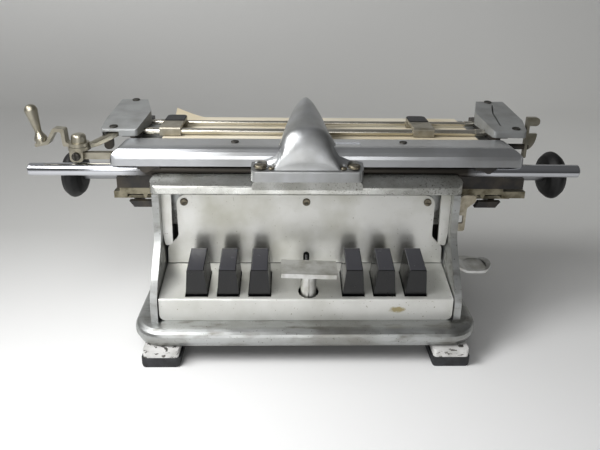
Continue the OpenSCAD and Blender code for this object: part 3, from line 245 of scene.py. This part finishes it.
rubbed_sheet, shader = start("hand_rubbed_sheet", "#dededa", 0.65)
tint(shader, clouds(shader, 30, 5, 0.42, 0.8), "#c8c8c1")
tint(shader, clouds(shader, 1.5, 2, 0.71, 0.75), "#97937f")
stain_place = (Vector((72.3, 16.2, 38.6)) - part_origin) / 1000
stain_size = (0.0066, 0.004, 0.003)
tint(shader, blot(shader, stain_place, stain_size), "#ab9f79")
vary(shader, "Roughness", clouds(shader, 20, 4, 0.3, 0.7), 0.36, 0.48)
relief(shader, clouds(shader, 14, 3, 0.2, 0.8), 0.05, 0.2)
wear(rubbed_sheet, "key_deck")

# Rear cover and paper table. Plain aluminium sheet behind and under the carriage, duller
# than the front sheets because nobody polishes it.
dull_sheet, shader = start("dull_aluminium_sheet", "#aeb0b0", 1, 0.42)
tint(shader, clouds(shader, 30, 5, 0.35, 0.75), "#86867f")
relief(shader, clouds(shader, 6, 3, 0.2, 0.8), 0.06, 0.3)
wear(dull_sheet, "rear_cover", "paper_table")

# Head hood. A deep aluminium casting over the embossing head, sanded satin and then
# handled a great deal, so that it shines softly with a broad highlight. Its round faces are
# shaded smooth, and the edges of its flange stay sharp.
def piece(name, mesh, material, body):
    """A mesh as a piece of the object: it rides on a body and names its finish."""
    made = bpy.data.objects.new(name, mesh)
    bpy.context.scene.collection.objects.link(made)
    mesh.materials.clear()
    mesh.materials.append(material)
    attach(made, body)
    return made


hood_casting, shader = start("satin_hood_casting", "#bcbec0", 1)
tint(shader, clouds(shader, 26, 5, 0.4, 0.8), "#9c9c98")
vary(shader, "Roughness", clouds(shader, 12, 4, 0.3, 0.7), 0.35, 0.46)
relief(shader, clouds(shader, 3, 3, 0.2, 0.8), 0.04, 0.25)
hood_mesh = part["head_hood"].data.copy()
skin = bmesh.new()
skin.from_mesh(hood_mesh)
bmesh.ops.remove_doubles(skin, verts=skin.verts, dist=1e-6)
for face in skin.faces:
    face.smooth = True
skin.to_mesh(hood_mesh)
skin.free()
for extra in ("custom_normal", "sharp_edge"):
    if extra in hood_mesh.attributes:
        hood_mesh.attributes.remove(hood_mesh.attributes[extra])
hood_mesh.set_sharp_from_angle(angle=math.radians(38))
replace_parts(piece("hood", hood_mesh, hood_casting, "base"), "head_hood")

# Screws. Small round-head screws: brass on the body, gone brown, and steel on the carriage,
# nearly black.
tarnished_brass, shader = start("tarnished_brass", "#8a8270", 0.85, 0.42)
tint(shader, clouds(shader, 2.5, 3, 0.4, 0.65), "#55524a")
wear(tarnished_brass, "body_screws")
dark_steel, shader = start("browned_screw_steel", "#4b4944", 0.8, 0.45)
tint(shader, clouds(shader, 2.5, 3, 0.4, 0.65), "#33322e")
wear(dark_steel, "carriage_screws")

# Guide bar. Ground steel, chromium plated, with mirror-bright ends. Its middle, which lies in
# the shade under the carriage cover, is painted dark brown as shade, and is rougher there.
chromium, shader = start("chromium_plate", "#3b3834", 1)
shaded_half, bright_from = 0.13, 0.15  # metres from the middle of the bar
tree = shader.id_data
place = add(tree, "ShaderNodeTexCoord")
along = add(tree, "ShaderNodeSeparateXYZ", None, {0: place.outputs["Object"]})
away = add(tree, "ShaderNodeMath", {"operation": "ABSOLUTE"}, {0: along.outputs["X"]})
unshaded_ends = add(tree, "ShaderNodeMapRange", {1: shaded_half, 2: bright_from, "clamp": True},
            {0: away.outputs["Value"]})
# Painted shade: the bar is dark brown-grey along its middle and turns bright chromium only towards
# the ends, beyond the carriage cover.
tint(shader, unshaded_ends.outputs["Result"], "#c9cbd0")
vary(shader, "Roughness", unshaded_ends.outputs["Result"], 0.38, 0.09)
wear(chromium, "guide_bar")

# Works inside the body: levers, axle, pins, guide, die, rail and drum in bright drawn steel,
# streaked along its length, and the escapement wheel and its rack in brass that has dulled
# to olive.
drawn_steel, shader = start("bright_drawn_steel", "#8f9092", 1)
vary(shader, "Roughness", clouds(shader, 3, 3, 0.3, 0.7, (0.2, 1, 1)), 0.28, 0.45)
wear(drawn_steel, "key_axle", "pin_guide", "die_block", "rear_rail", "spring_drum", "space_lever",
     *[f"key_lever_{n}" for n in range(1, 7)], *[f"emboss_pin_{n}" for n in range(1, 7)])
olive_brass, shader = start("dulled_olive_brass", "#938d7a", 0.85, 0.45)
tint(shader, clouds(shader, 7, 4, 0.4, 0.7), "#57513f")
wear(olive_brass, "escapement_rack", "escapement_wheel")

# Key caps. Moulded black phenolic plastic, glossy down the sides. The tops are painted grey,
# a painted reflection of the bright panel behind them.
key_phenolic, shader = start("moulded_black_phenolic", "#09090b", 0)
tint(shader, clouds(shader, 11, 4, 0.45, 0.8), "#111113")
# Painted reflection: faces that look up are tinted grey, standing in for the bright panel that the
# tops mirror.
tint(shader, tilt(shader, 0.6, 0.95), "#3f3f43")
vary(shader, "Roughness", clouds(shader, 8, 4, 0.35, 0.7), 0.18, 0.28)
wear(key_phenolic, *[f"key_cap_{n}" for n in range(1, 7)])

# Space key and side tab. A flat bar on a round post and a small spoon at the right wall,
# nickel plated and dulled to satin by the thumb.
thumbed_nickel, shader = start("thumbed_nickel_plate", "#dadad8", 1, 0.44)
tint(shader, clouds(shader, 10, 4, 0.4, 0.7), "#b4b3ac")
wear(thumbed_nickel, "space_plate", "side_tab")

# Side bracket. A small pressed fitting on the right wall, with a coat of cream stove paint
# that has darkened unevenly.
cream_paint, shader = start("cream_stove_paint", "#cbc3b0", 0, 0.5)
tint(shader, clouds(shader, 6, 4, 0.4, 0.7), "#a0967f")
wear(cream_paint, "side_bracket")

# Carriage cover. A long aluminium cap, brushed along its length so that it shines in a band.
# The real brush lines are finer than a tenth of a millimetre; these are coarse enough to show.
brushed_cap, shader = start("brushed_aluminium_cap", "#cfd1d4", 1)
tint(shader, clouds(shader, 40, 4, 0.4, 0.75), "#b9baba")
vary(shader, "Roughness", clouds(shader, 22, 2, 0.3, 0.75), 0.29, 0.34)
brush_lines = clouds(shader, 0.9, 2, 0.3, 0.7, (0.02, 1, 1))
relief(shader, brush_lines, 0.006, 0.2)
wear(brushed_cap, "carriage_cover")

# Carriage frame and ratchet. Cast iron beams and end plates in brown-black enamel, oily and
# dusty.
oily_enamel, shader = start("oily_black_enamel", "#1d1b1a", 0, 0.42)
tint(shader, clouds(shader, 12, 5, 0.4, 0.7), "#3d362c")
wear(oily_enamel, "carriage_frame", "ratchet_wheel")

# End housings. Cast covers at both ends of the carriage in a matt grey hammer paint, whose
# small dimples break up the shine.
hammer_paint, shader = start("grey_hammer_paint", "#919393", 0.3, 0.46)
tint(shader, clouds(shader, 16, 4, 0.4, 0.75), "#7b7c7a")
relief(shader, clouds(shader, 1.6, 3, 0.2, 0.8), 0.05, 0.4)
wear(hammer_paint, "left_housing", "right_housing")

# Brackets and levers. Nickel-plated steel, handled until the plate went soft and warm grey.
# The grip is turned from the same steel.
warm_nickel, shader = start("worn_warm_nickel", "#a8a394", 0.95)
tint(shader, clouds(shader, 9, 3, 0.42, 0.8), "#857f6c")
vary(shader, "Roughness", clouds(shader, 6, 3, 0.35, 0.7), 0.3, 0.42)
wear(warm_nickel, "lever_bracket", "line_lever", "lever_grip", "release_lever")

# Paper rods. Drawn steel with a smooth bright plate that shows long clean streaks of light,
# yellowed a little.
plated_rod, shader = start("bright_plated_rod", "#d6d2c7", 1)
tint(shader, clouds(shader, 30, 3, 0.4, 0.8), "#b5b0a0")
vary(shader, "Roughness", clouds(shader, 16, 3, 0.35, 0.7, (0.2, 1, 1)), 0.16, 0.26)
wear(plated_rod, "paper_rods")

# Paper guides. Two clips bent from dull plated sheet; a strip of black felt is glued over the
# rear half of each, where the fingers push it. The fibres are drawn ten times too coarse, so
# that they show.
dull_plate, shader = start("dull_plated_clip", "#a8a396", 0.8, 0.4)
tint(shader, clouds(shader, 8, 3, 0.4, 0.8), "#878171")
wear(dull_plate, "left_paper_guide", "right_paper_guide")
black_felt, shader = start("black_wool_felt", "#0d0d0e", 0, 0.95)
fibres = clouds(shader, 0.35, 3, 0.3, 0.7)
tint(shader, fibres, "#1d1d1f")
shader.inputs["Sheen Weight"].default_value = 0.08
relief(shader, fibres, 0.15, 0.6)
felt_length, felt_thick, felt_inset, felt_edge = 0.0185, 0.0011, 0.0004, 0.0005
corner_radius, glued_depth, clip_slope = 0.0038, 0.0003, 0.02
for side in ("left", "right"):
    low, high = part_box(f"{side}_paper_guide")
    rear = high.y - felt_inset
    bends = [(corner_radius * (1 - math.cos(math.radians(a))),
              corner_radius * (1 - math.sin(math.radians(a)))) for a in range(0, 91, 15)]
    left, right = low.x + felt_inset, high.x - felt_inset
    outline = [(left, high.y - felt_length), (right, high.y - felt_length)]
    outline += [(right - x, rear - y) for x, y in bends]
    outline += [(left + x, rear - y) for x, y in reversed(bends)]
    strip = bmesh.new()
    sole = [strip.verts.new((x, y, high.z - glued_depth - clip_slope * (high.y - y)))
            for x, y in outline]
    raised = bmesh.ops.extrude_face_region(strip, geom=[strip.faces.new(sole)])["geom"]
    top = {corner for corner in raised if isinstance(corner, bmesh.types.BMVert)}
    for corner in top:
        corner.co.z += felt_thick
    bmesh.ops.recalc_face_normals(strip, faces=strip.faces)
    rim = [e for e in strip.edges if top.issuperset(e.verts)]
    bmesh.ops.bevel(strip, geom=rim, offset=felt_edge, segments=3, affect="EDGES", profile=0.6)
    felt = bpy.data.meshes.new(f"{side}_guide_felt")
    strip.to_mesh(felt)
    strip.free()
    piece(f"{side}_guide_felt", felt, black_felt, f"{side}_guide")

# Paper. A heavy braille sheet, cream with age, whose rear left corner has curled up. Its
# pulp gives a matt, slightly fibrous face.
manila_paper, shader = start("manila_braille_paper", "#ebe4d1", 0, 0.85)
tint(shader, clouds(shader, 60, 3, 0.35, 0.7), "#dccfb2")
relief(shader, clouds(shader, 0.8, 3, 0.2, 0.8), 0.03, 0.3)
low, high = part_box("paper_sheet")
columns, rows = 92, 40
curl_reach, curl_lift, curl_slant, curl_power = 0.027, 0.0095, 1.2, 1.25
thickness = 0.0006
across, back = columns + 1, rows + 1
corners = []
for level_z in (0, thickness):
    for j in range(back):
        for i in range(across):
            x = low.x + (high.x - low.x) * i / columns
            y = low.y + (high.y - low.y) * j / rows
            away = min(1, (x - low.x + curl_slant * (high.y - y)) / curl_reach)
            corners.append((x, y, low.z + level_z + curl_lift * (1 - away) ** curl_power))
faces = []
for j in range(rows):
    for i in range(columns):
        below = [j * across + i, (j + 1) * across + i, (j + 1) * across + i + 1, j * across + i + 1]
        faces.append(below)
        faces.append([n + across * back for n in reversed(below)])
edge = list(range(across))
edge += [j * across + columns for j in range(1, back)]
edge += [rows * across + i for i in range(columns - 1, -1, -1)]
edge += [j * across for j in range(rows - 1, 0, -1)]
for here, there in zip(edge, edge[1:] + edge[:1]):
    faces.append([here, there, there + across * back, here + across * back])
sheet = bpy.data.meshes.new("curled_paper")
sheet.from_pydata(corners, [], faces)
for face in sheet.polygons:
    face.use_smooth = True
sheet.set_sharp_from_angle(angle=math.radians(40))
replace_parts(piece("curled_paper", sheet, manila_paper, "carriage"), "paper_sheet")

# Roller and knobs. The roller is black rubber, ground true on a steel axle, which leaves a
# fine grain; the knobs are moulded black plastic, gone matt.
ground_rubber, shader = start("ground_roller_rubber", "#28282a", 0, 0.6)
relief(shader, clouds(shader, 1, 3, 0.2, 0.8), 0.03, 0.4)
wear(ground_rubber, "feed_roller")
wear(drawn_steel, "roller_axle")
knob_plastic, shader = start("moulded_black_knob", "#060607", 0, 0.55, 1.46)
tint(shader, clouds(shader, 6, 4, 0.45, 0.75), "#151413")
wear(knob_plastic, "left_knob", "right_knob")

# Floor and backdrop. One pale sweep of matt card, with light and shade painted into its colour:
# grey behind the machine on the left, where the lamps are strongest, paler to the right, where
# it lifts the machine's shadow, lighter up the wall, white in front of and round the machine,
# and mid grey well in front, a painted dark reflection for the bar and the panel to mirror.
sweep_card, shader = start("pale_sweep_card", "#c2c2c0", 0, 0.9)
reach, wall_foot, wall_bend, wall_top = 2.6, 0.75, 0.3, 1.3
depth = [(-reach, 0), (wall_foot, 0)]
depth += [(wall_foot + wall_bend * math.sin(math.radians(a)),
           wall_bend - wall_bend * math.cos(math.radians(a))) for a in range(6, 91, 6)]
depth += [(wall_foot + wall_bend, wall_top)]
card = bpy.data.meshes.new("studio_sweep")
card.from_pydata([(x, y, z) for y, z in depth for x in (-reach, reach)], [],
                 [(2 * i, 2 * i + 1, 2 * i + 3, 2 * i + 2) for i in range(len(depth) - 1)])
for face in card.polygons:
    face.use_smooth = True
card.materials.append(sweep_card)
sweep = bpy.data.objects.new("studio_sweep", card)
bpy.context.scene.collection.objects.link(sweep)
tree = shader.id_data
place = add(tree, "ShaderNodeTexCoord")
spot = add(tree, "ShaderNodeSeparateXYZ", None, {0: place.outputs["Object"]})
# Painted shade and light: grey at the left, paler towards the right.
right = add(tree, "ShaderNodeMapRange", {1: -0.5, 2: 0.5, "clamp": True}, {0: spot.outputs["X"]})
tint(shader, right.outputs["Result"], "#f2f2ef")
# Painted light: paler up the wall.
wall = add(tree, "ShaderNodeMapRange", {1: 0.0, 2: 0.25, "clamp": True}, {0: spot.outputs["Z"]})
tint(shader, wall.outputs["Result"], "#f4f4f2")
# Painted light: white in front of and round the machine.
near = add(tree, "ShaderNodeMapRange", {1: 0.16, 2: -0.19, "clamp": True}, {0: spot.outputs["Y"]})
tint(shader, near.outputs["Result"], "#fdfdfd")
# The white ends at a line that runs from near the middle out to the front left
white_edge = add(tree, "ShaderNodeMapRange", {1: -1.3, 2: 0.05, 3: -1.1, 4: -0.25, "clamp": True},
                 {0: spot.outputs["X"]})
inside = add(tree, "ShaderNodeMath", {"operation": "SUBTRACT"},
             {0: spot.outputs["Y"], 1: white_edge.outputs["Result"]})
# Painted dark reflection: mid grey well in front, for the bar and the panel to mirror.
front = add(tree, "ShaderNodeMapRange", {1: 0.0, 2: -0.26, "clamp": True},
            {0: inside.outputs["Value"]})
tint(shader, front.outputs["Result"], "#666665")

# Light. A small lamp close by at the upper left, a broad one far off to the left, a low one
# in front that the bar and the hood mirror, and a soft glow all round, palest overhead on
# the left.
def lamp(name, at, aim, width, height, power):
    """A soft rectangular lamp, with metres and watts."""
    data = bpy.data.lights.new(name, "AREA")
    data.shape = "RECTANGLE"
    data.size = width
    data.size_y = height
    data.energy = power
    made = bpy.data.objects.new(name, data)
    made.location = at
    made.rotation_euler = (Vector(aim) - Vector(at)).to_track_quat("-Z", "Y").to_euler()
    bpy.context.scene.collection.objects.link(made)


lamp("near_lamp", (-0.22, -0.21, 0.34), (0, -0.06, 0.08), 0.2, 0.2, 0.98)
lamp("side_lamp", (-1.0, -0.25, 1.1), (0, 0.1, 0.1), 0.5, 0.5, 9.0)
lamp("front_lamp", (-0.18, -1.25, 0.27), (-0.18, 0, 0.14), 0.84, 0.54, 3.7)
world = bpy.data.worlds.new("studio")
bpy.context.scene.world = world
world.use_nodes = True
sky = world.node_tree
place = add(sky, "ShaderNodeTexCoord")
way = add(sky, "ShaderNodeSeparateXYZ", None, {0: place.outputs["Generated"]})
rise = add(sky, "ShaderNodeMapRange", {1: 0.0, 2: 0.8, "clamp": True}, {0: way.outputs["Z"]})
right = add(sky, "ShaderNodeMapRange", {1: -0.6, 2: 0.5, "clamp": True}, {0: way.outputs["X"]})
low_glow = add(sky, "ShaderNodeMix",
               {"data_type": "RGBA", 6: from_hex("#545454"), 7: from_hex("#585858")},
               {0: right.outputs["Result"]})
high_glow = add(sky, "ShaderNodeMix",
                {"data_type": "RGBA", 6: from_hex("#a0a0a0"), 7: from_hex("#606060")},
                {0: right.outputs["Result"]})
glow = add(sky, "ShaderNodeMix", {"data_type": "RGBA"},
           {0: rise.outputs["Result"], 6: low_glow.outputs[2], 7: high_glow.outputs[2]})
sky.links.new(glow.outputs[2], sky.nodes["Background"].inputs["Color"])
bpy.context.scene.view_settings.view_transform = "Standard"
